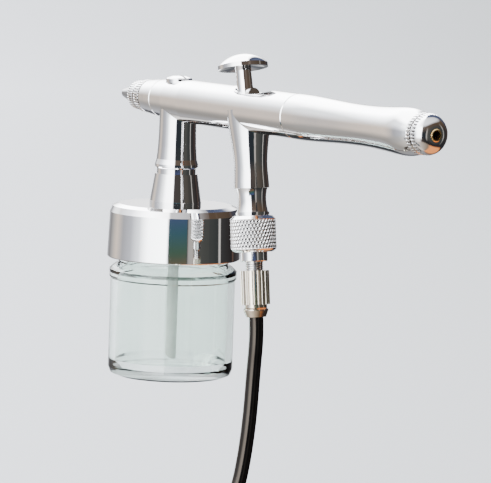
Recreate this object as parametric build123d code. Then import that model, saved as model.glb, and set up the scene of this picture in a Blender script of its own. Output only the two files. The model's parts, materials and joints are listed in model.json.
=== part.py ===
"""Siphon-feed double-action airbrush with its glass colour jar and its air hose.

Millimetres. The origin is the centre of the jar's base, +Z is the jar's axis, the barrel lies along X
with the nozzle towards -X and the handle towards +X. The air stem leans back from the barrel.
"""
from build123d import *
import math
import os

# ---- driving dimensions -------------------------------------------------------------------------
BARREL_Z = 78.0            # barrel axis above the jar's base
BARREL_R = 6.05
BODY_FRONT_X = -7.5        # joint between nozzle cap and body
BODY_REAR_X = 61.0         # joint between body and handle
HANDLE_END_X = 116.0
TIP_X = -29.8

STEM_X = 36.5              # where the air stem's axis crosses the barrel's
STEM_LEAN = 7.4            # degrees that the air stem leans back
TRIGGER_LEAN = 13.5        # degrees that the resting trigger leans forward
PIVOT_DEPTH = 8.5          # trigger foot below the barrel axis, along the stem

JAR_R = 17.65
CAP_RIM_Z = 33.4
CAP_TOP_Z = 48.6
SOCKET_END_Z = 58.8

HOSE_D = 4.0
FLOOR_Z = -56.4            # surface that the put-away hose lies on, below the held jar
COIL_LAYERS = 4
INNER_TURN_R = 17.0
OUTER_TURN_R = 26.0
TIE_THICK = 0.6

RUN = 0.05                 # radial clearance of turning and sliding fits
FACE = 0.06                # gap between faces that turn on each other
SEAM = 0.22                # bevel along both sides of an open seam

# ---- frames -------------------------------------------------------------------------------------
LEAN = math.radians(STEM_LEAN)
STEM_DIR = Vector(math.sin(LEAN), 0, -math.cos(LEAN))
BARREL = Plane(origin=(0, 0, BARREL_Z), x_dir=(0, 1, 0), z_dir=(1, 0, 0))
STEM = Plane(origin=(STEM_X, 0, BARREL_Z), x_dir=(0, 1, 0), z_dir=STEM_DIR)
PIVOT = Vector(STEM_X, 0, BARREL_Z) + STEM_DIR * PIVOT_DEPTH
TILT = math.radians(TRIGGER_LEAN)
TRIGGER_UP = Vector(-math.sin(TILT), 0, math.cos(TILT))
TRIGGER = Plane(origin=PIVOT, x_dir=(0, 1, 0), z_dir=TRIGGER_UP)


def on(plane, shape):
    """Place a shape drawn about +Z so that its axis is the plane's normal."""
    return plane.location * shape


def turned(points, bore=None):
    """Solid of revolution about Z from an outline of (radius, height) points, with an optional bore."""
    bottom = points[0][1]
    top = points[-1][1]
    outline = [(0, 0, bottom)] + [(r, 0, h) for r, h in points] + [(0, 0, top)]
    solid = revolve(make_face(Polyline(*outline, close=True)), Axis.Z)
    if bore:
        solid -= rod(bore, bottom - 1, top + 1)
    return solid


def turned_curve(points):
    """Solid of revolution whose side is one smooth curve through (radius, height) points."""
    side = Spline(*[(r, 0, h) for r, h in points])
    first = (0, 0, points[0][1])
    last = (0, 0, points[-1][1])
    ends = [Line(first, side @ 0), Line(side @ 1, last), Line(last, first)]
    return revolve(make_face([side] + ends), Axis.Z)


def rod(radius, low, high):
    """Cylinder about Z from height low to high."""
    cylinder = Cylinder(radius, high - low, align=(Align.CENTER, Align.CENTER, Align.MIN))
    return Pos(0, 0, low) * cylinder


def ring(inner, outer, low, high):
    return rod(outer, low, high) - rod(inner, low - 1, high + 1)


def polygon_bar(across_flats, low, high):
    """Hexagonal bar about Z."""
    profile = RegularPolygon(across_flats / 2, 6, major_radius=False)
    return Pos(0, 0, low) * extrude(profile, high - low)


def coil_spring(radius, wire, low, high, turns):
    path = Helix(pitch=(high - low) / turns, height=high - low, radius=radius)
    section = Plane(origin=path @ 0, z_dir=path % 0) * Circle(wire)
    return Pos(0, 0, low) * sweep(section, path=path)


# ---- jar and its cap ----------------------------------------------------------------------------
NECK_R = 15.5
NECK_TOP_Z = 46.0
JAR_WALL = 1.9
JAR_FLOOR = 2.6
GASKET = 0.9
STEM_BORE = 1.6
PLUG_LOW_R = 3.6           # the stem's taper that plugs into the socket
PLUG_HIGH_R = 3.3
PLUG_TOP_Z = 69.0
SIPHON_LOW_Z = 4.5


def glass_jar():
    shoulder_z = 27.8
    bead_r = JAR_R + 0.35
    outside = turned([
        (JAR_R - 2.2, 0.0),
        (JAR_R - 0.6, 0.65),
        (JAR_R, 2.2),
        (JAR_R, shoulder_z - 0.4),
        (bead_r, shoulder_z),
        (bead_r, shoulder_z + 2.2),
        (bead_r - 1.0, shoulder_z + 3.2),
        (NECK_R, shoulder_z + 4.2),
        (NECK_R, NECK_TOP_Z),
    ])
    inner_r = JAR_R - JAR_WALL
    inside = turned([
        (inner_r - 2.0, JAR_FLOOR),
        (inner_r, JAR_FLOOR + 2.0),
        (inner_r, shoulder_z + 1.0),
        (NECK_R - 2.0, shoulder_z + 3.4),
        (NECK_R - 2.0, NECK_TOP_Z + 1),
    ])
    return outside - inside


def jar_cap():
    rim_r = 18.83
    top_r = 18.35
    corner = 2.4
    arc_r = corner * math.sqrt(0.5)
    cap = turned([
        (rim_r - 0.3, CAP_RIM_Z),
        (rim_r, CAP_RIM_Z + 0.3),
        (top_r, CAP_TOP_Z - corner),
        (top_r - corner + arc_r, CAP_TOP_Z - corner + arc_r),
        (top_r - corner, CAP_TOP_Z),
    ])
    hollow = rod(NECK_R + 2 * RUN, CAP_RIM_Z - 1, NECK_TOP_Z + GASKET + FACE)
    return cap - hollow - rod(4.05, CAP_RIM_Z, CAP_TOP_Z + 1)


def cap_gasket():
    return ring(4.3, NECK_R - 0.2, NECK_TOP_Z + FACE, NECK_TOP_Z + GASKET)


def cap_stem():
    flange_top = CAP_TOP_Z + 1.0
    cone_top = 57.3
    stem = turned([
        (4.0, NECK_TOP_Z - 2.6),
        (4.0, CAP_TOP_Z),
        (7.3, CAP_TOP_Z),
        (7.3, flange_top),
        (7.2, flange_top),
        (6.0, cone_top),
        (5.5, cone_top),
        (5.5, SOCKET_END_Z - FACE),
        (PLUG_LOW_R, SOCKET_END_Z - FACE),
        (PLUG_HIGH_R, PLUG_TOP_Z),
    ])
    return stem - rod(STEM_BORE, CAP_RIM_Z, PLUG_TOP_Z + 1)


def stem_lock_nut():
    low = NECK_TOP_Z - 2.4
    return polygon_bar(11.0, low, NECK_TOP_Z - FACE) - rod(4.0 + RUN, low - 1, NECK_TOP_Z)


def siphon_tube():
    tube = ring(1.0, STEM_BORE, SIPHON_LOW_Z, NECK_TOP_Z + 6)
    slant = Pos(0, 0, SIPHON_LOW_Z) * Rot(0, 35, 0) * Box(8, 8, 2.2)
    return tube - slant


# ---- gun body -----------------------------------------------------------------------------------
CHAMBER_R = 3.9
PAINT_R = 2.4
SLOT_X = (31.2, 47.8)
SLOT_HALF = 2.45
SCOOP_X = (29.6, 49.6)
SCOOP_DEPTH = 1.55
SEAT_R = 3.6               # thread of the nozzle seat in the body
SEAT_REAR_X = -2.4
REAR_R = 4.7               # thread of the spring case in the body
STEM_END = 21.3            # all stem heights run down from the barrel axis
VALVE_BORE_R = 3.3
FOOT_BORE_R = 2.6
FOOT_BORE_END = 12.6
GUIDE_R = 1.25
GUIDE_END = 15.0
PLUG_SEAT = 4.75           # spot face of the top plug above the barrel axis


def body_outside():
    barrel = on(BARREL, turned([
        (5.35 - SEAM, BODY_FRONT_X),
        (5.38, BODY_FRONT_X + SEAM),
        (5.75, -1.0),
        (BARREL_R, 8.0),
        (BARREL_R, BODY_REAR_X - SEAM),
        (BARREL_R - SEAM, BODY_REAR_X),
    ]))
    air_stem = on(STEM, turned_curve([
        (6.2, 0.0),
        (5.6, 5.0),
        (4.85, 10.6),
        (4.55, 14.5),
        (4.7, 18.5),
        (4.85, STEM_END),
    ]))
    socket = turned([
        (5.5, SOCKET_END_Z),
        (6.1, SOCKET_END_Z + 0.5),
        (6.1, SOCKET_END_Z + 1.2),
        (5.7, SOCKET_END_Z + 2.6),
        (5.4, SOCKET_END_Z + 6.0),
        (5.25, SOCKET_END_Z + 10.0),
        (5.2, BARREL_Z),
    ])
    return barrel + air_stem + socket


def trigger_slot():
    """Slot for the trigger in the crest of the barrel, inside a shallow scooped saddle."""
    middle = sum(SLOT_X) / 2
    length = SLOT_X[1] - SLOT_X[0]
    slot = Pos(middle, 0, BARREL_Z) * extrude(SlotOverall(length, 2 * SLOT_HALF), 12)
    half = (SCOOP_X[1] - SCOOP_X[0]) / 2
    scoop_r = (half * half + SCOOP_DEPTH * SCOOP_DEPTH) / (2 * SCOOP_DEPTH)
    centre = ((SCOOP_X[0] + SCOOP_X[1]) / 2, 0, BARREL_Z + BARREL_R - SCOOP_DEPTH + scoop_r)
    scoop = Pos(*centre) * Rot(90, 0, 0) * Cylinder(scoop_r, 20)
    return slot + scoop


def gun_body():
    body = body_outside() - trigger_slot()
    bores = [
        on(BARREL, rod(SEAT_R, BODY_FRONT_X - 1, SEAT_REAR_X)),
        on(BARREL, rod(PAINT_R, SEAT_REAR_X - 1, 9.0)),
        on(BARREL, rod(2.6, 9.0, 13.0)),
        on(BARREL, rod(2.9, 13.0, 19.5)),
        on(BARREL, rod(CHAMBER_R, 19.0, BODY_REAR_X + 1)),
        on(BARREL, rod(REAR_R, 53.0, BODY_REAR_X + 1)),
        on(STEM, turned([(CHAMBER_R - 0.1, 0), (3.4, 5.0), (FOOT_BORE_R, 9.5), (FOOT_BORE_R, FOOT_BORE_END)])),
        on(STEM, rod(GUIDE_R, FOOT_BORE_END - 1, GUIDE_END + 1)),
        on(STEM, rod(VALVE_BORE_R, GUIDE_END, STEM_END + 1)),
        turned([
            (PLUG_LOW_R + RUN, SOCKET_END_Z - 1),
            (PLUG_LOW_R + RUN, SOCKET_END_Z),
            (PLUG_HIGH_R + RUN, PLUG_TOP_Z),
            (PLUG_HIGH_R + RUN, PLUG_TOP_Z + 0.5),
        ]),
        rod(STEM_BORE, PLUG_TOP_Z, BARREL_Z),
        Pos(0, 0, BARREL_Z) * rod(2.0 + RUN, 0, 10),
        Pos(0, 0, BARREL_Z) * rod(3.85, PLUG_SEAT, 10),
    ]
    for bore in bores:
        body -= bore
    return body


def top_plug():
    """Slotted screw plug over the paint passage, above the jar's stem."""
    low = PLUG_SEAT + FACE
    rim = 6.2
    plug = turned([
        (2.0, 2.7),
        (2.0, low),
        (3.5, low),
        (3.7, low + 0.2),
        (3.7, rim - 0.2),
        (3.4, rim + 0.15),
        (1.8, rim + 0.62),
        (0.3, rim + 0.75),
    ])
    slot = Pos(0, 0, rim + 0.75) * Box(9, 0.8, 1.3)
    return Pos(0, 0, BARREL_Z) * (plug - slot)


# ---- head ---------------------------------------------------------------------------------------
NEEDLE_R = 0.65
CAP_FRONT_X = -17.9
CROWN_REAR_X = -19.2
SPIGOT_R = 3.3
CROWN_THREAD_R = 3.0


def nozzle_seat():
    """Threaded seat that closes the paint chamber and carries the nozzle."""
    seat = turned([
        (SPIGOT_R, -12.3),
        (SPIGOT_R, BODY_FRONT_X),
        (SEAT_R - RUN, BODY_FRONT_X),
        (SEAT_R - RUN, SEAT_REAR_X),
    ], bore=1.1)
    return on(BARREL, seat)


def nozzle():
    outer = turned([(0.55, -28.7), (1.0, -25.0), (2.0, -16.0), (2.0, -12.3)])
    inner = turned([(0.3, -29.0), (0.3, -28.7), (0.95, -12.3), (0.95, -12.0)])
    return on(BARREL, outer - inner)


def nozzle_cap():
    """Air cap behind the crown: a smooth tapered ring and a serrated grip band."""
    cap = turned([
        (CROWN_THREAD_R, -20.8),
        (CROWN_THREAD_R, -19.1),
        (3.65, -19.1),
        (3.65, CAP_FRONT_X),
        (4.3, CAP_FRONT_X),
        (4.6, CAP_FRONT_X + 0.5),
        (4.7, -14.9),
        (4.45, -14.6),
        (4.45, -14.3),
        (4.85, -14.1),
        (5.32, BODY_FRONT_X - FACE - SEAM),
        (5.35 - SEAM, BODY_FRONT_X - FACE),
    ])
    hollow = turned([
        (2.3, -21.0),
        (2.3, -16.5),
        (SPIGOT_R + RUN, -12.6),
        (SPIGOT_R + RUN, BODY_FRONT_X),
    ])
    return on(BARREL, cap - hollow)


def needle_cap():
    """Serrated crown with the cone that shields the needle's point."""
    cap = turned([
        (1.0, TIP_X),
        (1.25, TIP_X + 0.3),
        (2.9, -23.0),
        (3.2, -21.9),
        (3.9, -21.8),
        (4.15, -21.4),
        (4.2, -19.6),
        (4.0, CROWN_REAR_X),
    ])
    hollow = turned([
        (0.75, TIP_X - 1),
        (0.75, TIP_X + 0.4),
        (2.35, -23.0),
        (CROWN_THREAD_R + RUN, -21.1),
        (CROWN_THREAD_R + RUN, -19.0),
    ])
    return on(BARREL, cap - hollow)


# ---- needle and what moves with it --------------------------------------------------------------
LEVER_REAR_X = 40.4
LEVER_THICK = 1.75
TUBE_REAR_X = 80.0
TUBE_R = 2.2
CASE_FRONT_X = 53.0
CASE_REAR_X = 70.5


def needle():
    return on(BARREL, turned([(0.08, -30.3), (NEEDLE_R, -12.0), (NEEDLE_R, 104.0)]))


def needle_packing():
    return on(BARREL, ring(NEEDLE_R + RUN, 2.6, 9.2, 12.6))


def packing_screw():
    screw = ring(NEEDLE_R + 0.1, 2.85, 13.0, 18.0)
    slot = Pos(0, 0, 18.0) * Box(0.8, 8, 2.0)
    return on(BARREL, screw - slot)


def back_lever():
    """Leaning plate between the trigger and the needle tube; its arched top shows behind the trigger."""
    lean = math.radians(11.2)
    half_width = 1.85
    foot = -3.1
    shoulder = 4.1
    upright = Pos(0, (foot + shoulder) / 2) * Rectangle(2 * half_width, shoulder - foot)
    arch = upright + Pos(0, shoulder) * Circle(half_width)
    front = Plane(origin=(38.0, 0, BARREL_Z), x_dir=(0, 1, 0), z_dir=(math.cos(lean), 0, math.sin(lean)))
    return front.location * extrude(arch, LEVER_THICK) - on(BARREL, rod(NEEDLE_R + 0.1, 30, 50))


def needle_tube():
    tube = turned([
        (3.3, LEVER_REAR_X),
        (3.3, LEVER_REAR_X + 1.2),
        (TUBE_R, LEVER_REAR_X + 1.2),
        (TUBE_R, 54.0),
        (3.2, 54.0),
        (3.2, 55.0),
        (TUBE_R, 55.0),
        (TUBE_R, TUBE_REAR_X),
    ], bore=NEEDLE_R + 0.03)
    return on(BARREL, tube)


def needle_spring():
    return on(BARREL, coil_spring(2.75, 0.25, 55.4, 68.6, 10))


def spring_case():
    case = turned([
        (REAR_R, CASE_FRONT_X),
        (REAR_R, BODY_REAR_X),
        (4.2, BODY_REAR_X),
        (4.2, CASE_REAR_X),
    ])
    case -= rod(3.35, CASE_FRONT_X - 1, CASE_REAR_X - 1.5)
    case -= rod(TUBE_R + RUN, CASE_REAR_X - 3, CASE_REAR_X + 1)
    return on(BARREL, case)


def chuck_nut():
    nut = rod(3.1, 78.0, 85.5) - rod(TUBE_R + RUN, 77.0, TUBE_REAR_X + 0.1)
    return on(BARREL, nut - rod(NEEDLE_R + RUN, 77.0, 86.0))


# ---- handle and tail knob -----------------------------------------------------------------------
KNOB_THREAD_R = 2.7
KNOB_END_X = 122.2
HOLE_R = 1.2
BUSH_R = 1.65


def handle():
    start = BODY_REAR_X + FACE
    outside = turned_curve([
        (BARREL_R + 0.05, start),
        (6.05, 67.0),
        (5.65, 77.0),
        (5.3, 88.0),
        (5.45, 98.0),
        (5.95, 106.5),
        (6.1, 110.5),
        (5.75, 114.0),
        (5.15, HANDLE_END_X),
    ])
    outside = outside & turned([
        (BARREL_R - SEAM, start),
        (BARREL_R + 0.5, start + 0.5 + SEAM),
        (BARREL_R + 0.5, HANDLE_END_X),
    ])
    outside -= rod(4.2 + RUN, start - 1, CASE_REAR_X + 1)
    outside -= rod(3.6, CASE_REAR_X, 111.0)
    outside -= rod(KNOB_THREAD_R + RUN, 110.0, HANDLE_END_X + 1)
    return on(BARREL, outside)


def tail_knob():
    """Knurled adjusting ring and rounded end with a hole in its face."""
    start = HANDLE_END_X + FACE
    grip_r = 5.3
    corner = 3.6
    corner_steps = 6
    rounding = []
    for step in range(corner_steps + 1):
        turn = math.pi / 2 * step / corner_steps
        radius = grip_r - corner + corner * math.cos(turn)
        rounding.append((radius, KNOB_END_X - corner + corner * math.sin(turn)))
    knob = turned([
        (KNOB_THREAD_R, 112.5),
        (KNOB_THREAD_R, start),
        (4.9, start),
        (grip_r, start + 0.4),
        (grip_r, 117.9),
        (4.95, 118.1),
        (4.95, 118.4),
    ] + rounding, bore=BUSH_R)
    return on(BARREL, knob)


def tail_bush():
    bush = turned([
        (BUSH_R, 115.0),
        (BUSH_R, KNOB_END_X + 0.05),
        (BUSH_R - 0.2, KNOB_END_X + 0.2),
    ], bore=HOLE_R)
    return on(BARREL, bush)


# ---- trigger and air valve ----------------------------------------------------------------------
BUTTON_R = 6.85
BUTTON_LOW = 19.9          # trigger heights run up from its foot
BUTTON_RIM = 1.1
BUTTON_RISE = 2.9
STALK_R = 2.15


def trigger():
    """Domed button on a round stalk; below, a blade with a slot that the needle passes through."""
    dome_r = (BUTTON_R ** 2 + BUTTON_RISE ** 2) / (2 * BUTTON_RISE)
    rim_top = BUTTON_LOW + BUTTON_RIM
    dome = Pos(0, 0, rim_top + BUTTON_RISE - dome_r) * Sphere(dome_r)
    button = rod(BUTTON_R, BUTTON_LOW, rim_top) + (dome & rod(BUTTON_R, rim_top - 0.1, 30))
    dish = turned([(BUTTON_R - 0.5, BUTTON_LOW - 0.1), (STALK_R + 0.4, BUTTON_LOW + 0.6)])
    button -= dish
    stalk = turned([(STALK_R + 0.1, 13.0), (STALK_R, 17.5), (STALK_R, BUTTON_LOW + 1.0)])
    blade = rod(STALK_R - 0.1, 0, 13.8) & Pos(0, 0, 6.9) * Box(3.2, 3.6, 13.8)
    foot = Rot(0, 90, 0) * Cylinder(1.7, 3.2)
    slot_low = 6.6
    slot_high = 12.6
    slot = Pos(0, 0, (slot_low + slot_high) / 2) * Box(1.8, 6, slot_high - slot_low)
    return on(TRIGGER, button + stalk + foot + blade - slot)


def valve_piston():
    piston = turned([
        (GUIDE_R - RUN, PIVOT_DEPTH + 1.75),
        (GUIDE_R - RUN, 16.4),
        (2.4, 16.4),
        (2.4, 17.7),
        (0.8, 17.7),
        (0.8, 19.4),
    ])
    return on(STEM, piston)


def valve_o_ring():
    return on(STEM, ring(GUIDE_R + 0.1, 2.6, GUIDE_END, 16.3))


def valve_spring():
    return on(STEM, coil_spring(1.75, 0.22, 17.95, 23.1, 6))


def air_fitting():
    """Waisted fitting screwed into the air stem, with the male thread for the hose nut."""
    start = STEM_END + 0.05
    neck = turned_curve([
        (4.3, start),
        (3.95, start + 1.6),
        (3.88, start + 3.8),
        (4.3, 27.8),
    ])
    fitting = neck + rod(4.6, 27.8, 28.6) + rod(4.3, 28.5, 35.8) + rod(VALVE_BORE_R - 0.02, 19.6, start + 0.5)
    fitting -= rod(2.4, 19.0, 23.5)
    fitting -= rod(1.4, 23.0, 36.0)
    return on(STEM, fitting)


# ---- hose joint ---------------------------------------------------------------------------------
NUT_LOW = 38.7
FLUTED_TOP = 43.65
FLUTED_LOW = 52.9
FERRULE_LOW = 56.3
COLLAR_R = 3.66


def hose_nut():
    """Diamond-knurled union nut on the air fitting."""
    nut = turned([
        (4.7, 28.68),
        (5.4, 28.9),
        (6.2, 29.8),
        (6.2, NUT_LOW - 1.1),
        (5.0, NUT_LOW),
    ])
    nut -= rod(4.3 + RUN, 28.0, 36.7)
    return on(STEM, nut - rod(COLLAR_R + RUN, 36.0, NUT_LOW + 1))


def hose_nipple():
    nipple = turned([
        (4.25, 36.0),
        (4.25, 36.6),
        (COLLAR_R, 36.6),
        (COLLAR_R, 41.0),
        (COLLAR_R - 0.2, 41.2),
        (2.4, 41.2),
        (2.4, 50.0),
        (1.9, 50.0),
        (1.9, FLUTED_LOW),
    ], bore=1.0)
    return on(STEM, nipple)


def fluted_nut():
    """Straight-ribbed clamping nut."""
    ribs = 22
    outer_r = 3.95
    nut = rod(outer_r, FLUTED_TOP, FLUTED_LOW)
    groove = Pos(outer_r + 0.12, 0, (FLUTED_TOP + FLUTED_LOW) / 2) * Cylinder(0.34, 12)
    for index in range(ribs):
        nut -= Rot(0, 0, 360 / ribs * index) * groove
    return on(STEM, nut - rod(2.4 + RUN, FLUTED_TOP - 1, FLUTED_LOW + 1))


def hose_ferrule():
    ferrule = turned([
        (3.05, FLUTED_LOW + FACE),
        (3.05, 53.8),
        (3.4, 54.2),
        (3.4, 54.5),
        (2.7, FERRULE_LOW),
    ], bore=1.0)
    return on(STEM, ferrule)


# ---- hose ---------------------------------------------------------------------------------------
HOSE_START = Vector(STEM_X, 0, BARREL_Z) + STEM_DIR * FERRULE_LOW
HOSE_FIRST = HOSE_START + STEM_DIR * 5.0
COIL_LOW = FLOOR_Z + TIE_THICK
COIL_TOP = COIL_LOW + COIL_LAYERS * HOSE_D
COIL_OUTER_R = OUTER_TURN_R + HOSE_D / 2
COIL_INNER_R = INNER_TURN_R - HOSE_D / 2
COIL_MIDDLE_R = (COIL_INNER_R + COIL_OUTER_R) / 2
UPPER_Z = COIL_TOP - HOSE_D / 2
LOWER_Z = COIL_LOW + HOSE_D / 2

# The hose comes down heading towards -Y and joins the outer turn of the top layer there.
ENTRY = Vector(42.6, -28.3, UPPER_Z)
ENTRY_LEAD = 4.0           # from the end of the hose's own solid to where the outer turn begins
COIL_CENTRE = ENTRY + Vector(OUTER_TURN_R, -ENTRY_LEAD, 0)

HOSE_ROUTE = [
    tuple(HOSE_START),
    tuple(HOSE_FIRST),
    (43.5, -0.1, 7.5),
    (43.2, -0.5, -5.0),
    (43.0, -1.8, -17.0),
    (42.8, -3.9, -27.0),
    (42.7, -9.8, -35.1),
    (42.6, -18.4, -40.1),
    tuple(ENTRY),
]

# The other end leaves the outer turn of the bottom layer towards -X and rises to the connector's axis.
ALONG = Vector(-1, 0, 0)
CONNECTOR_FLATS = 12.0
CONNECTOR_RISE = FLOOR_Z + CONNECTOR_FLATS / 2 - LOWER_Z
TAIL_START = Vector(COIL_CENTRE.X, COIL_CENTRE.Y + OUTER_TURN_R, LOWER_Z)
TAIL_ROUTE = [
    tuple(TAIL_START),
    tuple(TAIL_START + ALONG * 9.0),
    tuple(TAIL_START + ALONG * 21.0 + Vector(0, 0, CONNECTOR_RISE)),
    tuple(TAIL_START + ALONG * 30.0 + Vector(0, 0, CONNECTOR_RISE)),
]


def corner_radii(route):
    """The largest arc that each corner's two runs allow."""
    points = [Vector(*p) for p in route]
    radii = []
    for before, here, after in zip(points, points[1:], points[2:]):
        arriving = here - before
        leaving = after - here
        half_turn = math.radians(arriving.get_angle(leaving)) / 2
        radii.append(0.45 * min(arriving.length, leaving.length) / math.tan(half_turn))
    return radii


def tube_along(route, name):
    radii = corner_radii(route)
    path = FilletPolyline(*route, radius=radii)
    tube = sweep(Plane(origin=path @ 0, z_dir=path % 0) * Circle(HOSE_D / 2), path=path)
    expected = math.pi * (HOSE_D / 2) ** 2 * path.length
    print(name, "radii", [round(r, 1) for r in radii], "length", round(path.length, 1),
          "volume ratio", round(tube.volume / expected, 4))
    return tube


def hose():
    return tube_along(HOSE_ROUTE, "hose")


def hose_tail():
    return tube_along(TAIL_ROUTE, "hose_tail")


def coil_ring(margin):
    """The ring that holds all the turns, grown by a margin."""
    edge = 1.2
    across = COIL_OUTER_R - COIL_INNER_R + 2 * margin
    tall = COIL_TOP - COIL_LOW + 2 * margin
    profile = Pos(COIL_MIDDLE_R, 0) * RectangleRounded(across, tall, edge + margin)
    middle = Pos(COIL_CENTRE.X, COIL_CENTRE.Y, (COIL_LOW + COIL_TOP) / 2)
    return middle * revolve(Plane.XZ * profile, Axis.Z)


def hose_coil():
    """Outer shape of the put-away length: four layers of turns lying flat."""
    return coil_ring(0.0)


def coil_tie():
    """Strap round all the turns, on the side away from both ends of the hose."""
    width = 6.0
    tie_angle = 315.0
    centre = Pos(COIL_CENTRE.X, COIL_CENTRE.Y, (COIL_LOW + COIL_TOP) / 2)
    sector = centre * Rot(0, 0, tie_angle) * Pos(COIL_MIDDLE_R, 0, 0) * Box(COIL_MIDDLE_R, width, 24)
    return (coil_ring(TIE_THICK) - coil_ring(0.02)) & sector


def hose_connector():
    """Female union for the compressor's outlet, lying on a flat of its hexagon."""
    connector = turned([(2.9, 0.0), (3.4, 0.6), (3.4, 7.0), (4.6, 7.6), (4.6, 10.0)])
    connector += polygon_bar(CONNECTOR_FLATS, 10.0, 18.0) & rod(6.7, 10.0, 18.0)
    connector -= rod(1.2, -1.0, 20.0)
    connector -= rod(4.3, 11.5, 19.0)
    return on(Plane(origin=TAIL_ROUTE[-1], x_dir=(0, 1, 0), z_dir=ALONG), connector)


# ---- write every node ---------------------------------------------------------------------------
NODES = [
    glass_jar, jar_cap, cap_gasket, cap_stem, stem_lock_nut, siphon_tube,
    gun_body, top_plug, nozzle_seat, nozzle, nozzle_cap, needle_cap,
    needle, needle_packing, packing_screw, back_lever, needle_tube, needle_spring,
    spring_case, chuck_nut, handle, tail_knob, tail_bush,
    trigger, valve_piston, valve_o_ring, valve_spring, air_fitting,
    hose_nut, hose_nipple, fluted_nut, hose_ferrule,
    hose, hose_coil, hose_tail, coil_tie, hose_connector,
]

os.makedirs("parts", exist_ok=True)
for make in NODES:
    export_step(make(), f"parts/{make.__name__}.step")
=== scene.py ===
"""Studio scene for the siphon-feed airbrush: its hose, its knurls and threads, and its finishes.

Metres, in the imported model's frame: the jar stands on the origin, +Z up, the nozzle towards -X.
"""
import json
import math

import bpy
from mathutils import Matrix, Vector


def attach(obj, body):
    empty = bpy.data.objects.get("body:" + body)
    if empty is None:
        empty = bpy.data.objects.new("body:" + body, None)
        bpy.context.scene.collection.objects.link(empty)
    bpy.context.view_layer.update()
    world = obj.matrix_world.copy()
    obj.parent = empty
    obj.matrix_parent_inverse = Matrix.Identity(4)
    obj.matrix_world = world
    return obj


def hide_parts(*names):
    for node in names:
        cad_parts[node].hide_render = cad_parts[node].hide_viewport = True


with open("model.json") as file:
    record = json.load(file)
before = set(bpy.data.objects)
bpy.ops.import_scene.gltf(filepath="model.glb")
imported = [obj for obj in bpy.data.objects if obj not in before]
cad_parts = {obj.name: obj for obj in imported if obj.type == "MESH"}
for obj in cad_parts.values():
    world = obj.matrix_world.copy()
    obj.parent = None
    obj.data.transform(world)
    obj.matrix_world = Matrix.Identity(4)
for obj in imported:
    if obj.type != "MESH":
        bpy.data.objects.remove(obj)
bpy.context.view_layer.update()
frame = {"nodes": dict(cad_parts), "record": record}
NODES = frame["nodes"]
MM = 0.001
FULL_TURN = 2 * math.pi
QUARTER_TURN = math.pi / 2


# ---- helpers ------------------------------------------------------------------------------------
def smooth(t):
    t = min(max(t, 0.0), 1.0)
    return t * t * (3 - 2 * t)


def mesh_object(name, verts, faces):
    mesh = bpy.data.meshes.new(name)
    mesh.from_pydata(verts, [], faces)
    obj = bpy.data.objects.new(name, mesh)
    bpy.context.scene.collection.objects.link(obj)
    return obj


def ring_faces(rings, around):
    """Faces between neighbouring rings of points; rings lists the first ring again to close the shape."""
    faces = []
    for ring, above in zip(rings, rings[1:]):
        for index in range(around):
            beside = (index + 1) % around
            faces.append((
                ring * around + index,
                ring * around + beside,
                above * around + beside,
                above * around + index,
            ))
    return faces


def smooth_shaded(obj):
    for polygon in obj.data.polygons:
        polygon.use_smooth = True


# ---- camera -------------------------------------------------------------------------------------
CAMERA_SPOT = Vector((723.17, -445.54, 132.5))
CAMERA_RIGHT = Vector((0.5411, 0.84025, 0.03461))
CAMERA_UP = Vector((-0.11107, 0.03061, 0.99334))
SENSOR_WIDTH = 36.0
FOCAL_LENGTH = 221.4


def make_camera():
    """The photograph's point of view: behind the gun, on its left side and a little above the barrel.

    Gives back the direction from the model towards the camera.
    """
    right = CAMERA_RIGHT.normalized()
    up = (CAMERA_UP - right * CAMERA_UP.dot(right)).normalized()
    back = right.cross(up)
    data = bpy.data.cameras.new("camera")
    data.sensor_width = SENSOR_WIDTH
    data.lens = FOCAL_LENGTH
    data.clip_start = 0.05
    data.clip_end = 30.0
    camera = bpy.data.objects.new("camera", data)
    bpy.context.scene.collection.objects.link(camera)
    turn = Matrix((right, up, back)).transposed().to_4x4()
    camera.matrix_world = Matrix.Translation(CAMERA_SPOT * MM) @ turn
    bpy.context.scene.camera = camera
    return back


CAMERA_BACK = make_camera()


# ---- hose ---------------------------------------------------------------------------------------
HOSE_D = 4.0
FLOOR_Z = -56.4
BARREL_Z = 78.0
FERRULE_BELOW_BARREL = 56.3
CONNECTOR_Z = FLOOR_Z + 6.0
TIE_THICK = 0.6
LAYERS = 4
INNER_TURN_R = 17.0
OUTER_TURN_R = 26.0
LOWER_Z = FLOOR_Z + TIE_THICK + HOSE_D / 2
UPPER_Z = LOWER_Z + (LAYERS - 1) * HOSE_D
LEAN = math.radians(7.4)
STEM_DIR = Vector((math.sin(LEAN), 0, -math.cos(LEAN)))
STEM_TOP = Vector((36.5, 0, BARREL_Z))
HOSE_START = STEM_TOP + STEM_DIR * FERRULE_BELOW_BARREL
ENTRY = Vector((42.6, -28.3, UPPER_Z))
ENTRY_LEAD = 4.0
COIL_CENTRE = ENTRY + Vector((OUTER_TURN_R, -ENTRY_LEAD, 0))
ALONG = Vector((-1, 0, 0))
TAIL_START = Vector((COIL_CENTRE.x, COIL_CENTRE.y + OUTER_TURN_R, LOWER_Z))
TAIL_RISE = Vector((0, 0, CONNECTOR_Z - LOWER_Z))

HOSE_ROUTE = [
    HOSE_START,
    HOSE_START + STEM_DIR * 5.0,
    Vector((43.5, -0.1, 7.5)),
    Vector((43.2, -0.5, -5.0)),
    Vector((43.0, -1.8, -17.0)),
    Vector((42.8, -3.9, -27.0)),
    Vector((42.7, -9.8, -35.1)),
    Vector((42.6, -18.4, -40.1)),
    ENTRY,
]
TAIL_ROUTE = [
    TAIL_START + ALONG * 9.0,
    TAIL_START + ALONG * 21.0 + TAIL_RISE,
    TAIL_START + ALONG * 30.0 + TAIL_RISE,
]


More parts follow.
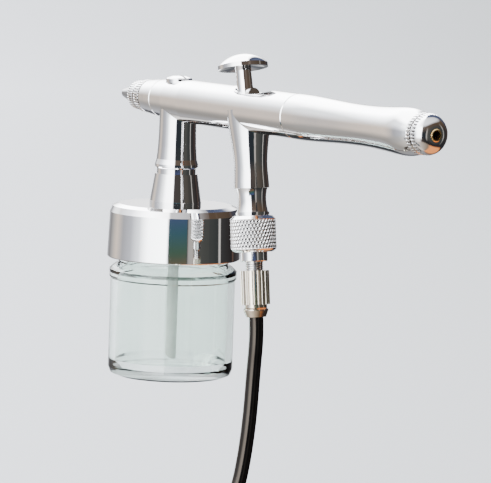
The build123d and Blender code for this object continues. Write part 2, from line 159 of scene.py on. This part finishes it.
def coil_points():
    """Control points of the coil: each layer spirals in or out, then drops a diameter to the next."""
    steps = 16
    step_angle = FULL_TURN / steps
    corner = 1 / math.cos(step_angle / 2)
    spiral_turns = (OUTER_TURN_R - INNER_TURN_R) / HOSE_D
    drop_turns = 0.25
    layer_turns = spiral_turns + drop_turns
    total_turns = LAYERS * layer_turns - drop_turns
    points = []
    for index in range(round(total_turns * steps)):
        turns = (index + 0.5) / steps
        layer = int(turns / layer_turns)
        within = turns - layer * layer_turns
        climb = min(within, spiral_turns) * HOSE_D
        radius = OUTER_TURN_R - climb if layer % 2 == 0 else INNER_TURN_R + climb
        height = UPPER_Z - HOSE_D * (layer + smooth((within - spiral_turns) / drop_turns))
        angle = math.pi + turns * FULL_TURN
        spot = Vector((math.cos(angle), math.sin(angle), 0)) * radius * corner
        points.append(Vector((COIL_CENTRE.x + spot.x, COIL_CENTRE.y + spot.y, height)))
    return points


def make_hose():
    route = HOSE_ROUTE + coil_points() + TAIL_ROUTE
    data = bpy.data.curves.new("air_hose", "CURVE")
    data.dimensions = "3D"
    data.resolution_u = 6
    data.bevel_depth = 1.0
    data.bevel_resolution = 6
    data.use_fill_caps = True
    spline = data.splines.new("NURBS")
    spline.points.add(len(route) - 1)
    for point, spot in zip(spline.points, route):
        point.co = (*(spot * MM), 1.0)
        point.radius = HOSE_D / 2 * MM
    spline.order_u = 3
    spline.use_endpoint_u = True
    hose = bpy.data.objects.new("air_hose", data)
    bpy.context.scene.collection.objects.link(hose)
    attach(hose, "gun")
    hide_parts("hose", "hose_coil", "hose_tail")
    return hose


HOSE = make_hose()


# ---- turned pieces ------------------------------------------------------------------------------
TEETH = 36
TOOTH_DEPTH = 0.3
SHARP_EDGE = math.radians(38)
BARREL_FRAME = Matrix(((0, 0, 1, 0), (1, 0, 0, 0), (0, 1, 0, BARREL_Z), (0, 0, 0, 1)))


def stem_frame():
    side = Vector((0, 1, 0))
    third = STEM_DIR.cross(side)
    columns = Matrix((side, third, STEM_DIR)).transposed().to_4x4()
    return Matrix.Translation(STEM_TOP) @ columns


STEM_FRAME = stem_frame()


def profile_points(outline, spacing):
    """(radius, height) points along an outline, no further apart than spacing, with its corners kept."""
    points = [outline[0]]
    for (r0, h0), (r1, h1) in zip(outline, outline[1:]):
        pieces = max(1, math.ceil(math.hypot(r1 - r0, h1 - h0) / spacing))
        for index in range(1, pieces + 1):
            t = index / pieces
            points.append((r0 + (r1 - r0) * t, h0 + (h1 - h0) * t))
    return points


def lathe(name, axes, outline, around, relief, spacing=0.12):
    """Closed mesh of revolution from a closed (radius, height) outline, with the relief cut into it.

    The "groove" attribute keeps how deep each point was cut, 1 at the deepest.
    """
    rings = profile_points(outline + [outline[0]], spacing)[:-1]
    verts = []
    cuts = []
    for radius, height in rings:
        for index in range(around):
            angle = FULL_TURN * index / around
            cuts.append(relief(angle, height, radius))
            r = radius - cuts[-1]
            verts.append(axes @ Vector((r * math.cos(angle), r * math.sin(angle), height)) * MM)
    obj = mesh_object(name, verts, ring_faces([*range(len(rings)), 0], around))
    groove = obj.data.attributes.new("groove", "FLOAT", "POINT")
    deepest = max(cuts)
    groove.data.foreach_set("value", [cut / deepest for cut in cuts])
    smooth_shaded(obj)
    obj.data.set_sharp_from_angle(angle=SHARP_EDGE)
    return obj


def ridge(t):
    """A triangle wave of period 1 between 0 and 1, with a flattened crest at 0."""
    wave = abs((t % 1.0) - 0.5) * 2
    return smooth((0.62 - wave) / 0.62)


def band(height, low, high, fade=0.15):
    """1 between low and high, fading to 0 at both ends."""
    return smooth((height - low) / fade) * smooth((high - height) / fade)


def straight_teeth(core, low, high):
    """Relief of straight teeth between two heights, outside the core radius."""
    def relief(angle, height, radius):
        if radius < core:
            return 0.0
        return TOOTH_DEPTH * ridge(TEETH * angle / FULL_TURN) * band(height, low, high, 0.25)

    return relief


def place(piece, body, node):
    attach(piece, body)
    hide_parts(node)
    return piece


def knurled_nut():
    columns = 38
    rise = 1.9
    low = 29.75
    high = 37.7
    depth = 0.38

    def diamonds(angle, height, radius):
        if radius < 6.0:
            return 0.0
        across = columns * angle / FULL_TURN
        up = height / rise
        return depth * max(0.6 * ridge(across + up), ridge(across - up)) * band(height, low, high)

    outline = [
        (4.7, 28.7), (5.3, 28.8), (6.2, 29.7), (6.2, 37.75), (5.9, 38.15), (5.0, 38.65),
        (3.75, 38.65), (3.75, 36.75), (4.36, 36.65), (4.36, 28.7),
    ]
    return lathe("union_nut", STEM_FRAME, outline, columns * 8, diamonds, 0.1)


def serrated_nozzle_cap():
    outline = [
        (3.0, -20.8), (3.0, -19.1), (3.65, -19.1), (3.65, -17.95), (4.3, -17.95), (4.65, -17.3),
        (4.75, -14.9), (4.45, -14.7), (4.45, -14.35), (4.83, -14.15), (5.1, -11.0),
        (5.32, -7.78), (5.13, -7.56), (3.4, -7.56), (3.4, -12.6), (2.3, -16.5), (2.3, -20.8),
    ]
    return lathe("nozzle_cap_ring", BARREL_FRAME, outline, TEETH * 8,
                 straight_teeth(4.25, -17.95, -14.85))


def serrated_crown():
    outline = [
        (0.8, -29.6), (0.95, -29.8), (1.15, -29.7), (1.3, -29.4), (2.9, -23.0), (3.25, -21.95),
        (3.85, -21.9), (4.15, -21.4), (4.2, -19.7), (4.0, -19.22), (3.1, -19.22),
        (3.1, -21.1), (2.35, -23.0), (0.75, -29.4),
    ]
    return lathe("crown", BARREL_FRAME, outline, TEETH * 8, straight_teeth(3.8, -21.9, -19.3))


def knurled_knob():
    """The tail knob: two rows of slanting notches and a rounded end."""
    depth = 0.32
    tail_x = 122.2
    corner = 3.6

    def rows(angle, height, radius):
        if radius < 4.3:
            return 0.0
        slant = (height - 117.0) * 0.16
        notch = ridge(TEETH * angle / FULL_TURN + slant)
        first = band(height, 116.45, 117.95, 0.2) * notch
        second = band(height, 118.4, 119.9, 0.2) * notch
        return depth * max(first, second)

    dome = []
    for step in range(17):
        turn = QUARTER_TURN * step / 16
        dome.append((1.7 + corner * math.cos(turn), tail_x - corner + corner * math.sin(turn)))
    outline = [
        (2.7, 112.5), (2.7, 116.06), (4.9, 116.06), (5.3, 116.45), (5.3, 117.9), (4.95, 118.1),
        (4.95, 118.4), *dome, (1.66, 122.15), (1.66, 112.5),
    ]
    return lathe("tail_knob_knurled", BARREL_FRAME, outline, TEETH * 8, rows)


def threaded_nipple():
    """The nipple with the helical thread that shows between the two nuts."""
    pitch = 0.6
    depth = 0.22

    def thread(angle, height, radius):
        if radius > 2.5 or radius < 2.3:
            return 0.0
        return depth * ridge(height / pitch - angle / FULL_TURN) * band(height, 41.3, 50.0, 0.2)

    outline = [
        (4.25, 36.0), (4.25, 36.6), (3.66, 36.6), (3.66, 41.0), (3.46, 41.2), (2.4, 41.2),
        (2.4, 50.0), (1.9, 50.0), (1.9, 52.9), (1.0, 52.9), (1.0, 36.0),
    ]
    return lathe("threaded_nipple", STEM_FRAME, outline, 96, thread, 0.06)


DETAILS = [
    place(knurled_nut(), "union_nut", "hose_nut"),
    place(serrated_nozzle_cap(), "front_cap", "nozzle_cap"),
    place(serrated_crown(), "crown", "needle_cap"),
    place(knurled_knob(), "knob", "tail_knob"),
    place(threaded_nipple(), "gun", "hose_nipple"),
]


# ---- materials ----------------------------------------------------------------------------------
class Tree:
    """Short calls for building a node tree."""

    def __init__(self, tree):
        self.tree = tree

    def add(self, kind, **settings):
        node = self.tree.nodes.new(kind)
        for name, value in settings.items():
            setattr(node, name, value)
        return node

    def link(self, source, target):
        self.tree.links.new(source, target)

    def ramp(self, source, *stops):
        """The source's 0 to 1 as colours; each stop is a position with a colour or a grey level."""
        ramp = self.add("ShaderNodeValToRGB")
        while len(ramp.color_ramp.elements) < len(stops):
            ramp.color_ramp.elements.new(0.5)
        for element, (position, colour) in zip(ramp.color_ramp.elements, stops):
            element.position = position
            element.color = (*colour, 1) if isinstance(colour, tuple) else (colour, colour, colour, 1)
        self.link(source, ramp.inputs["Fac"])
        return ramp.outputs["Color"]

    def mix(self, factor, start, end):
        """Start where the factor is 0, end where it is 1; end is an output or a plain colour."""
        node = self.add("ShaderNodeMix", data_type="RGBA")
        self.link(factor, node.inputs["Factor"])
        self.link(start, node.inputs["A"])
        if isinstance(end, tuple):
            node.inputs["B"].default_value = (*end, 1)
        else:
            self.link(end, node.inputs["B"])
        return node.outputs["Result"]

    def dot(self, vector, axis):
        node = self.add("ShaderNodeVectorMath", operation="DOT_PRODUCT")
        node.inputs[1].default_value = axis
        self.link(vector, node.inputs[0])
        return node.outputs["Value"]

    def maths(self, operation, a, b):
        """b is an output or a plain number."""
        node = self.add("ShaderNodeMath", operation=operation)
        self.link(a, node.inputs[0])
        if isinstance(b, (int, float)):
            node.inputs[1].default_value = b
        else:
            self.link(b, node.inputs[1])
        return node.outputs["Value"]

    def span(self, source, low, high):
        """The source's 0 to 1 laid over low to high."""
        node = self.add("ShaderNodeMapRange")
        node.inputs["To Min"].default_value = low
        node.inputs["To Max"].default_value = high
        self.link(source, node.inputs["Value"])
        return node.outputs["Result"]

    def rise(self, source, low, high, easing="LINEAR"):
        """The source's low to high laid over 0 to 1."""
        node = self.add("ShaderNodeMapRange", interpolation_type=easing)
        node.inputs["From Min"].default_value = low
        node.inputs["From Max"].default_value = high
        self.link(source, node.inputs["Value"])
        return node.outputs["Result"]


class Nodes(Tree):
    """One material's node tree, in the piece's own coordinates."""

    def __init__(self, name):
        self.material = bpy.data.materials.new(name)
        self.material.use_nodes = True
        super().__init__(self.material.node_tree)
        self.shader = self.tree.nodes["Principled BSDF"]
        self.coords = self.add("ShaderNodeTexCoord").outputs["Object"]

    def set(self, **values):
        for name, value in values.items():
            self.shader.inputs[name.replace("_", " ")].default_value = value

    def noise(self, size, detail=3.0, stretch=(1, 1, 1)):
        """Noise with features of about size millimetres, stretched along an axis by its factor."""
        mapping = self.add("ShaderNodeMapping")
        mapping.inputs["Scale"].default_value = [1 / s for s in stretch]
        self.link(self.coords, mapping.inputs["Vector"])
        texture = self.add("ShaderNodeTexNoise")
        texture.inputs["Scale"].default_value = 1 / (size * MM)
        texture.inputs["Detail"].default_value = detail
        self.link(mapping.outputs["Vector"], texture.inputs["Vector"])
        return texture.outputs["Fac"]

    def bump(self, height, strength, distance):
        node = self.add("ShaderNodeBump")
        node.inputs["Strength"].default_value = strength
        node.inputs["Distance"].default_value = distance * MM
        self.link(height, node.inputs["Height"])
        self.link(node.outputs["Normal"], self.shader.inputs["Normal"])


def metal(name, light, dark, rough, grain, stretch, relief, grime_and_painted_shade=None):
    """Plated or bare metal: slightly cloudy colour, handling marks in the gloss and a fine grain.

    The last colour is what the cuts of a knurled piece darken towards: settled grime, and painted shade
    standing in for the shadow inside the cuts.
    """
    nodes = Nodes(name)
    nodes.set(Metallic=1.0)
    cloud = nodes.noise(9.0, 4.0)
    colour = nodes.ramp(cloud, (0.3, dark), (0.7, light))
    if grime_and_painted_shade:
        # The cuts darken with their depth: partly grime, partly painted shade for the shadow inside them.
        cut = nodes.add("ShaderNodeAttribute")
        cut.attribute_name = "groove"
        colour = nodes.mix(nodes.ramp(cut.outputs["Fac"], (0.35, 0.0), (0.9, 1.0)), colour, grime_and_painted_shade)
    nodes.link(colour, nodes.shader.inputs["Base Color"])
    marks = nodes.noise(3.5, 6.0)
    nodes.link(nodes.span(marks, *rough), nodes.shader.inputs["Roughness"])
    nodes.bump(nodes.noise(grain, 2.0, stretch), relief, 0.02)
    return nodes.material


def glass():
    nodes = Nodes("jar_glass")
    nodes.set(IOR=1.5, Transmission_Weight=1.0)
    tint = nodes.ramp(nodes.noise(14.0, 2.0), (0.3, (0.80, 0.90, 0.84)), (0.7, (0.87, 0.95, 0.91)))
    nodes.link(tint, nodes.shader.inputs["Base Color"])
    nodes.link(nodes.span(nodes.noise(6.0, 3.0), 0.0, 0.02), nodes.shader.inputs["Roughness"])
    nodes.bump(nodes.noise(7.0, 2.0, (1, 1, 3)), 0.25, 0.25)
    return nodes.material


def plastic(name, light, dark, rough, shine=(1, 1, 1), grain=0.4, relief=0.2):
    """Moulded plastic or rubber with a slightly uneven gloss; shine is the tint of its reflections."""
    nodes = Nodes(name)
    nodes.set(Specular_Tint=(*shine, 1))
    cloud = nodes.noise(5.0, 5.0)
    nodes.link(nodes.ramp(cloud, (0.3, dark), (0.7, light)), nodes.shader.inputs["Base Color"])
    nodes.link(nodes.span(nodes.noise(2.0, 5.0), *rough), nodes.shader.inputs["Roughness"])
    nodes.bump(nodes.noise(grain, 3.0), relief, 0.03)
    return nodes.material


def strap():
    """Hook and loop strap: fine looped pile."""
    loops_per_metre = 2600.0
    nodes = Nodes("tie_strap")
    cells = nodes.add("ShaderNodeTexVoronoi")
    cells.inputs["Scale"].default_value = loops_per_metre
    nodes.link(nodes.coords, cells.inputs["Vector"])
    pile = cells.outputs["Distance"]
    colour = nodes.ramp(pile, (0.1, (0.05, 0.05, 0.055)), (0.7, (0.012, 0.012, 0.014)))
    nodes.link(colour, nodes.shader.inputs["Base Color"])
    nodes.set(Roughness=0.9, Specular_IOR_Level=0.1)
    nodes.bump(pile, 0.8, 0.15)
    return nodes.material


CHROME = metal("polished_chrome", (0.90, 0.90, 0.905), (0.84, 0.845, 0.86), (0.02, 0.075), 0.5,
               (6, 1, 1), 0.05)
# Its last colour darkens the cuts: grime, and painted shade for the shadow inside them.
KNURLED_CHROME = metal("knurled_chrome", (0.90, 0.90, 0.905), (0.82, 0.825, 0.84), (0.05, 0.13), 0.12,
                       (1, 1, 1), 0.1, (0.05, 0.045, 0.045))
BRASS = metal("machined_brass", (0.98, 0.72, 0.33), (0.88, 0.61, 0.26), (0.14, 0.3), 0.1,
              (1, 1, 8), 0.2)
STEEL = metal("ground_steel", (0.62, 0.61, 0.60), (0.5, 0.5, 0.5), (0.12, 0.25), 0.08,
              (12, 1, 1), 0.15)
NICKEL = metal("warm_nickel", (0.86, 0.78, 0.66), (0.74, 0.66, 0.54), (0.08, 0.2), 0.15,
               (1, 1, 8), 0.12)
GLASS = glass()
WHITE = plastic("natural_plastic", (0.86, 0.86, 0.83), (0.76, 0.76, 0.72), (0.3, 0.45))
RUBBER = plastic("seal_rubber", (0.03, 0.03, 0.03), (0.015, 0.015, 0.015), (0.45, 0.6))
HOSE_BLACK = plastic("hose_vinyl", (0.004, 0.004, 0.0045), (0.002, 0.002, 0.0022), (0.08, 0.16),
                     (0.85, 0.72, 0.60), 0.9, 0.08)
STRAP = strap()

BY_SLOT = {
    "chrome": CHROME, "brass": BRASS, "steel": STEEL, "nickel": NICKEL, "glass": GLASS,
    "white_plastic": WHITE, "black_rubber": RUBBER, "hose_black": HOSE_BLACK, "tie_black": STRAP,
}


def dress(obj, material):
    obj.data.materials.clear()
    obj.data.materials.append(material)


for subpart in frame["record"]["subparts"]:
    dress(NODES[subpart["node"]], BY_SLOT[subpart["material_slot"]])
for piece in DETAILS:
    dress(piece, KNURLED_CHROME)
dress(HOSE, HOSE_BLACK)


# ---- studio -------------------------------------------------------------------------------------
FLAT_BACK = Vector((CAMERA_BACK.x, CAMERA_BACK.y, 0)).normalized()
FLAT_RIGHT = Vector((-FLAT_BACK.y, FLAT_BACK.x, 0))


def studio_floor():
    """Pale floor that curves up into walls all round; its colour darkens towards the lower right of the
    picture, a painted fall-off of the light.

    The metal mirrors the painted world and not this floor.
    """
    floor_r = 2.2
    curve_r = 0.8
    wall_top = 2.4
    outline = [(0.0, 0.0), (0.4, 0.0), (floor_r, 0.0)]
    for step in range(1, 13):
        turn = QUARTER_TURN * step / 12
        outline.append((floor_r + curve_r * math.sin(turn), curve_r * (1 - math.cos(turn))))
    outline.append((floor_r + curve_r, wall_top))
    around = 96
    verts = []
    for radius, height in outline:
        for index in range(around):
            angle = FULL_TURN * index / around
            verts.append((radius * math.cos(angle), radius * math.sin(angle), height + FLOOR_Z * MM))
    floor = mesh_object("studio_floor", verts, ring_faces(range(len(outline)), around))
    smooth_shaded(floor)
    floor.visible_glossy = False
    floor.visible_diffuse = False
    floor.visible_shadow = False
    nodes = Nodes("studio_paper")
    # Painted light and shade: the floor colour is lighter at the upper left and darker at the lower right of
    # the picture, standing in for the fall of the light.
    across = nodes.dot(nodes.coords, FLAT_RIGHT - Vector((0, 0, 0.4)))
    painted_light_upper_left = (0.50, 0.52, 0.555)
    painted_shade_lower_right = (0.27, 0.285, 0.295)
    fade = nodes.ramp(nodes.rise(across, -0.3, 0.3), (0.0, painted_light_upper_left), (1.0, painted_shade_lower_right))
    nodes.link(fade, nodes.shader.inputs["Base Color"])
    nodes.set(Roughness=0.9)
    floor.data.materials.append(nodes.material)


def tinted_card():
    """Small card that only mirrors show, in front of the jar cap: blue at the top, brown at the foot."""
    distance = 120.0
    sides = (-15.5, 49.0)
    foot = 24.0
    top = 48.0
    corners = []
    for side, height in ((0, foot), (1, foot), (1, top), (0, top)):
        spot = FLAT_BACK * distance + FLAT_RIGHT * sides[side] + Vector((0, 0, height))
        corners.append(spot * MM)
    card = mesh_object("tinted_card", corners, [(0, 1, 2, 3)])
    card.visible_camera = False
    card.visible_diffuse = False
    card.visible_transmission = False
    card.visible_shadow = False
    nodes = Nodes("tinted_card")
    parts = nodes.add("ShaderNodeSeparateXYZ")
    nodes.link(nodes.coords, parts.inputs["Vector"])
    colour = nodes.ramp(nodes.rise(parts.outputs["Z"], foot * MM, top * MM), (0.12, (0.19, 0.12, 0.08)),
                        (0.38, (0.07, 0.13, 0.09)), (0.62, (0.05, 0.12, 0.15)), (0.9, (0.08, 0.10, 0.22)))
    nodes.set(Base_Color=(0, 0, 0, 1), Specular_IOR_Level=0.0, Emission_Strength=1.0)
    nodes.link(colour, nodes.shader.inputs["Emission Color"])
    card.data.materials.append(nodes.material)


def key_softbox():
    """Soft light from above the nozzle's left side, which the metal does not mirror."""
    spot = Vector((-0.5, -0.75, 0.85))
    aim = Vector((0.03, 0, 0.05))
    side = 0.7
    data = bpy.data.lights.new("key_softbox", "AREA")
    data.shape = "RECTANGLE"
    data.size = side
    data.size_y = side
    data.energy = 12.0
    lamp = bpy.data.objects.new("key_softbox", data)
    bpy.context.scene.collection.objects.link(lamp)
    lamp.location = spot
    lamp.rotation_mode = "QUATERNION"
    lamp.rotation_quaternion = (aim - spot).to_track_quat("-Z", "Y")
    lamp.visible_glossy = False


def studio_world():
    """What the polished metal mirrors: white on the left, a dark room on the right, warm wood low down."""
    world = bpy.data.worlds.new("studio")
    world.use_nodes = True
    bpy.context.scene.world = world
    sky = Tree(world.node_tree)
    background = world.node_tree.nodes["Background"]
    direction = sky.add("ShaderNodeTexCoord").outputs["Generated"]
    turn = sky.maths("ARCTAN2", sky.dot(direction, FLAT_RIGHT), sky.dot(direction, FLAT_BACK))
    around = sky.maths("ADD", sky.maths("DIVIDE", turn, FULL_TURN), 0.5)
    height = sky.dot(direction, (0, 0, 1))

    def at(degrees):
        """A place on the ramps: 0 is towards the camera, 90 the right of the picture, 180 behind the gun."""
        return 0.5 + degrees / 360

    side = sky.ramp(
        around,
        (at(-180), (2.0, 2.0, 2.05)),
        (at(-168), (0.75, 0.76, 0.80)),
        (at(-148), (0.30, 0.29, 0.30)),
        (at(-136), (0.60, 0.58, 0.56)),
        (at(-118), (1.25, 1.05, 0.88)),
        (at(-100), (0.60, 0.60, 0.64)),
        (at(-80), (0.85, 0.87, 0.95)),
        (at(-62), (2.0, 2.1, 2.2)),
        (at(-44), (7.0, 7.2, 7.4)),
        (at(-12), (8.0, 8.2, 8.4)),
        (at(-8), (0.03, 0.035, 0.045)),
        (at(24), (0.03, 0.04, 0.045)),
        (at(27), (0.55, 0.52, 0.48)),
        (at(34), (0.60, 0.55, 0.50)),
        (at(38), (0.10, 0.10, 0.09)),
        (at(85), (0.045, 0.05, 0.05)),
        (at(87), (0.9, 0.85, 0.8)),
        (at(89), (0.9, 0.85, 0.8)),
        (at(91), (0.05, 0.05, 0.05)),
        (at(122), (0.03, 0.025, 0.025)),
        (at(126), (0.16, 0.10, 0.08)),
        (at(130), (0.04, 0.035, 0.035)),
        (at(156), (0.09, 0.085, 0.09)),
        (at(168), (0.5, 0.5, 0.5)),
    )
    overhead = sky.ramp(
        around,
        (at(-180), (14.0, 14.0, 14.2)),
        (at(-146), (13.0, 13.2, 13.5)),
        (at(-132), (6.5, 6.7, 6.9)),
        (at(-118), (2.4, 2.5, 2.6)),
        (at(-90), (3.0, 3.1, 3.3)),
        (at(-50), (9.0, 9.2, 9.4)),
        (at(-12), (10.0, 10.0, 10.0)),
        (at(-8), (0.17, 0.13, 0.105)),
        (at(70), (0.12, 0.08, 0.055)),
        (at(120), (0.13, 0.09, 0.06)),
        (at(140), (0.10, 0.12, 0.20)),
        (at(168), (0.13, 0.16, 0.28)),
        (at(176), (14.0, 14.0, 14.2)),
    )
    zenith = sky.ramp(
        around,
        (at(-180), (12.0, 12.0, 12.2)),
        (at(-60), (10.0, 10.0, 10.2)),
        (at(-5), (2.0, 2.0, 2.1)),
        (at(60), (1.6, 1.6, 1.65)),
        (at(118), (1.2, 1.2, 1.25)),
        (at(132), (0.08, 0.09, 0.16)),
        (at(158), (0.14, 0.17, 0.28)),
        (at(168), (0.06, 0.07, 0.12)),
        (at(176), (12.0, 12.0, 12.2)),
    )
    low = sky.ramp(
        around,
        (at(-180), (0.16, 0.17, 0.19)),
        (at(-168), (0.04, 0.045, 0.05)),
        (at(-160), (0.10, 0.10, 0.11)),
        (at(-152), (0.75, 0.76, 0.82)),
        (at(-128), (0.42, 0.39, 0.36)),
        (at(-90), (0.70, 0.68, 0.66)),
        (at(-30), (2.2, 2.1, 2.0)),
        (at(-10), (0.10, 0.08, 0.07)),
        (at(20), (0.03, 0.03, 0.03)),
        (at(150), (0.03, 0.03, 0.035)),
        (at(180), (0.16, 0.17, 0.19)),
    )
    floor = sky.ramp(
        around,
        (at(-180), (0.40, 0.40, 0.42)),
        (at(-120), (0.45, 0.42, 0.38)),
        (at(-60), (1.2, 1.1, 1.0)),
        (at(-25), (0.8, 0.7, 0.6)),
        (at(40), (0.36, 0.27, 0.19)),
        (at(58), (1.6, 0.55, 0.16)),
        (at(135), (1.5, 0.50, 0.14)),
        (at(160), (0.30, 0.20, 0.14)),
        (at(180), (0.40, 0.40, 0.42)),
    )
    colour = sky.mix(sky.rise(height, 0.02, 0.5, "SMOOTHSTEP"), side, overhead)
    colour = sky.mix(sky.rise(height, 0.5, 0.75, "SMOOTHSTEP"), colour, zenith)
    depth = sky.maths("MULTIPLY", height, -1.0)
    colour = sky.mix(sky.rise(depth, 0.14, 0.42, "SMOOTHSTEP"), colour, low)
    colour = sky.mix(sky.rise(depth, 0.50, 0.64, "SMOOTHSTEP"), colour, floor)
    sky.link(colour, background.inputs["Color"])
    background.inputs["Strength"].default_value = 1.0


studio_floor()
tinted_card()
studio_world()
key_softbox()

bpy.context.view_layer.update()
